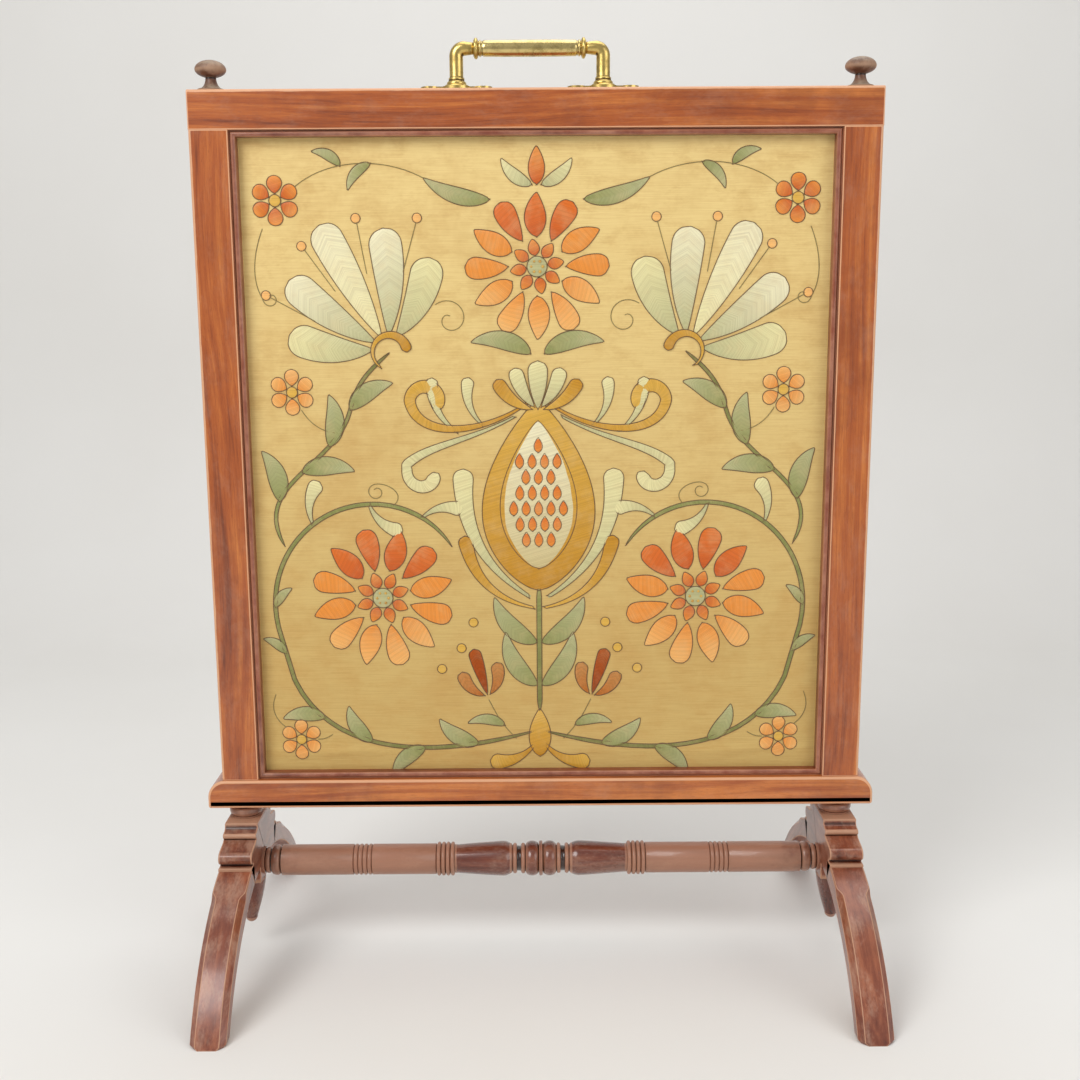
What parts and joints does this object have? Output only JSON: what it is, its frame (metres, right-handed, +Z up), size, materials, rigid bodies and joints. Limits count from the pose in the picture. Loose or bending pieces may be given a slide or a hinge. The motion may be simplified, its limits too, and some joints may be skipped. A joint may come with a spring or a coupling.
{
  "type": "fire screen",
  "caption": "Free-standing wooden fire screen with an embroidered silk panel, turned finials, brass carrying handle and arched trestle feet joined by a ring-turned stretcher.",
  "frame": {"origin": "on the floor, under the middle of the frame", "axes": "+Z up, +X towards the viewer's right, +Y towards the back; the embroidered side faces -Y"},
  "size_m": [0.606, 0.358, 0.814],
  "materials": {
    "frame_wood": "french-polished mahogany, worn arrises",
    "moulding_wood": "polished dark mahogany",
    "back_wood": "stained board, dull",
    "bead_wood": "stained mahogany bead",
    "trestle_wood": "polished mahogany, scuffed",
    "finial_wood": "dusty polished mahogany",
    "pine": "bare pine",
    "silk": "aged satin silk with silk embroidery",
    "aged_brass": "aged cast and drawn brass",
    "steel": "dull steel"
  },
  "bodies": {
    "root": {"top_rail": "frame_wood", "left_stile": "frame_wood", "right_stile": "frame_wood", "base_rail": "frame_wood", "moulding_top": "moulding_wood", "moulding_bottom": "moulding_wood", "moulding_left": "moulding_wood", "moulding_right": "moulding_wood", "back_board": "back_wood", "back_bead_top": "bead_wood", "back_bead_bottom": "bead_wood", "back_bead_left": "bead_wood", "back_bead_right": "bead_wood", "collar_left": "trestle_wood", "collar_right": "trestle_wood", "head_left": "trestle_wood", "head_right": "trestle_wood", "drop_left": "trestle_wood", "drop_right": "trestle_wood", "front_leg_left": "trestle_wood", "front_leg_right": "trestle_wood", "rear_leg_left": "trestle_wood", "rear_leg_right": "trestle_wood", "stretcher": "trestle_wood", "finial_left": "finial_wood", "finial_right": "finial_wood", "strainer_top": "pine", "strainer_bottom": "pine", "strainer_left": "pine", "strainer_right": "pine", "leg_dowels": "pine", "silk_panel": "silk", "handle_grip": "aged_brass", "handle_collar_left": "aged_brass", "handle_collar_right": "aged_brass", "handle_post_left": "aged_brass", "handle_post_right": "aged_brass", "handle_plate_left": "aged_brass", "handle_plate_right": "aged_brass", "handle_screws": "aged_brass", "handle_rod": "steel", "silk_tacks": "steel", "back_brads": "steel"}
  },
  "joints": []
}
